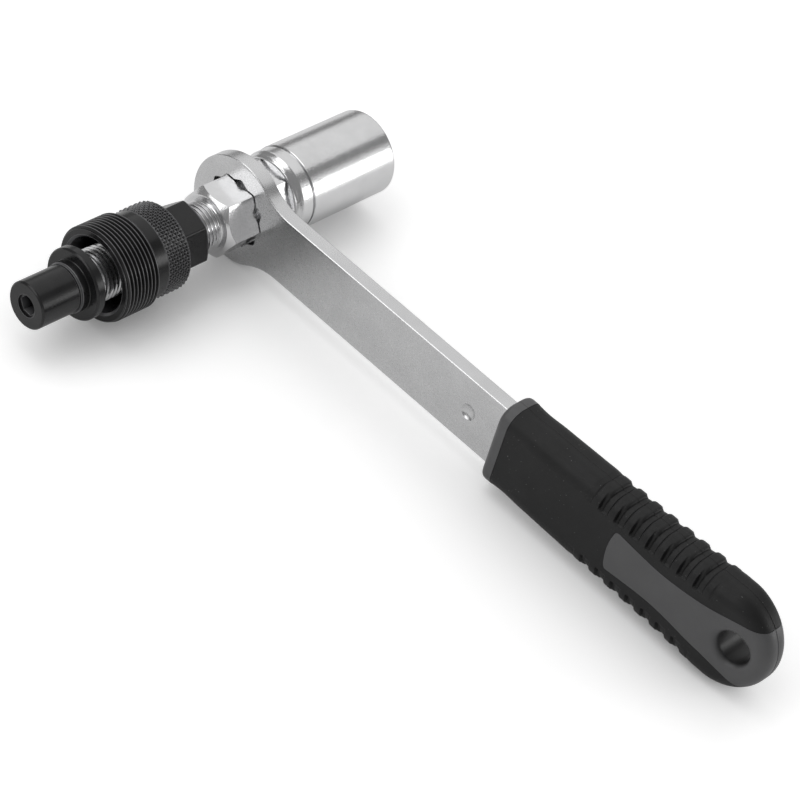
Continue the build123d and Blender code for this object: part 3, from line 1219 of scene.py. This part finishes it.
def make_grip():
    """The core with its hole and the bar's slot, and the sleeve around it."""
    core = solid("grip_core_detail", *grip_form(False))
    combine(core, core_zone(0), "INTERSECT")
    combine(core, hole_cutter(), "DIFFERENCE")
    gap = 0.06
    bar_half = wrench_half_width + gap
    tang_half = tang_half_width + gap
    step = collar_end + gap
    end = tang_end + gap
    slot = [
        (82.0, -bar_half), (step, -bar_half), (step, -tang_half), (end, -tang_half),
        (end, tang_half), (step, tang_half), (step, bar_half), (82.0, bar_half),
    ]
    low = wrench_front - gap
    combine(core, prism("slot", slot, low, wrench_front + wrench_thickness + gap), "DIFFERENCE")
    sleeve = solid("grip_sleeve_detail", *grip_form(True))
    combine(sleeve, core_zone(seam), "DIFFERENCE")
    dress(core, "wrench", "grey_plastic", ["grip_core"])
    dress(sleeve, "wrench", "black_rubber", ["grip_sleeve"], 38.0)


make_nut()
make_spindle()
make_nose()
make_disc()
make_socket()
make_wrench()
make_grip()

ring_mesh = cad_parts["retaining_ring"].data
ring_mesh.materials.clear()
ring_mesh.materials.append(finishes["spring_steel"])


# Floor, world, lights and camera

def make_floor():
    """A pale floor that keeps the tool's shadow and shows white to the camera, with a painted shadow
    that darkens its glow near the tool.
    """
    half = 3.0
    level = cad_low[2]
    camera_glow = 0.6
    metal_glow = 0.2
    shadow_reach = 0.05
    mesh = bpy.data.meshes.new("floor")
    corners = [(-half, -half, level), (half, -half, level), (half, half, level), (-half, half, level)]
    mesh.from_pydata(corners, [], [(0, 1, 2, 3)])
    floor_piece = bpy.data.objects.new("floor", mesh)
    bpy.context.scene.collection.objects.link(floor_piece)
    material, tree, bsdf = shader("floor")
    feed(tree, bsdf, {
        "Base Color": (0.78, 0.78, 0.78, 1),
        "Roughness": 0.9,
        "Specular IOR Level": 0.2,
    })
    rays = node(tree, "ShaderNodeLightPath").outputs
    to_camera = maths(tree, "MULTIPLY", rays["Is Camera Ray"], camera_glow)
    to_metal = maths(tree, "MULTIPLY", rays["Is Glossy Ray"], metal_glow)
    # Painted shadow: ambient occlusion darkens the floor's glow near the tool, to the camera and in
    # reflections on metal.
    painted_shade = node(tree, "ShaderNodeAmbientOcclusion", {"Distance": shadow_reach}).outputs["AO"]
    strength = maths(tree, "MULTIPLY", maths(tree, "ADD", to_camera, to_metal), painted_shade)
    glow = node(tree, "ShaderNodeEmission", {"Color": (1, 1, 1, 1), "Strength": strength})
    both = node(tree, "ShaderNodeAddShader", {0: bsdf.outputs["BSDF"], 1: glow.outputs["Emission"]})
    feed(tree, tree.nodes["Material Output"], {"Surface": both.outputs["Shader"]})
    mesh.materials.append(material)


def make_world():
    """A white backdrop for the camera and an even dome of light for the rest."""
    world = bpy.data.worlds.new("studio")
    bpy.context.scene.world = world
    world.use_nodes = True
    tree = world.node_tree
    dome = tree.nodes["Background"]
    feed(tree, dome, {"Color": (1, 1, 1, 1), "Strength": 0.27})
    white = node(tree, "ShaderNodeBackground", {"Color": (1, 1, 1, 1), "Strength": 1.0})
    rays = node(tree, "ShaderNodeLightPath")
    mix = node(tree, "ShaderNodeMixShader", {
        "Fac": rays.outputs["Is Camera Ray"],
        1: dome.outputs["Background"],
        2: white.outputs["Background"],
    })
    feed(tree, tree.nodes["World Output"], {"Surface": mix.outputs["Shader"]})


def softbox(name, aim, direction, distance, width, height, radiance):
    """A softbox with an even radiance, facing a point in millimetres."""
    light = bpy.data.lights.new(name, "AREA")
    light.shape = "RECTANGLE"
    light.size = width
    light.size_y = height
    light.energy = radiance * pi * width * height
    lamp = bpy.data.objects.new(name, light)
    bpy.context.scene.collection.objects.link(lamp)
    away = Vector(direction).normalized()
    lamp.location = Vector(aim) * MM + away * distance
    lamp.rotation_euler = away.to_track_quat("Z", "Y").to_euler()


def make_camera():
    """The photograph's viewpoint."""
    data = bpy.data.cameras.new("camera")
    data.lens = 139.486
    data.sensor_width = 36.0
    camera = bpy.data.objects.new("camera", data)
    camera.location = (0.32662, -0.37972, 0.43388)
    camera.rotation_euler = (radians(46.762), radians(-12.992), radians(44.915))
    bpy.context.scene.collection.objects.link(camera)
    bpy.context.scene.camera = camera


make_floor()
make_world()

# Name, aim in millimetres, direction, distance, width and height in metres, and radiance
softbox("top_box", (20, 50, 0), (-0.38, 0.58, 0.72), 0.7, 0.95, 0.75, 0.6)
softbox("side_box", (20, 60, 0), (0.74, 0.64, 0.22), 0.6, 0.22, 0.22, 3.0)
softbox("side_fill", (20, 60, 0), (0.8, 0.5, 0.3), 0.6, 0.5, 0.4, 0.5)
softbox("front_box", (60, 20, 0), (-0.35, -0.8, 0.6), 0.9, 0.7, 0.5, 1.8)
softbox("key_box", (60, 20, 0), (-0.4, -0.15, 0.9), 0.8, 0.5, 0.5, 1.6)
softbox("strip", (10, 36, 4), (0.76, -0.64, 0.1), 0.8, 0.3, 0.16, 0.6)

make_camera()

bpy.context.scene.view_settings.view_transform = "Standard"
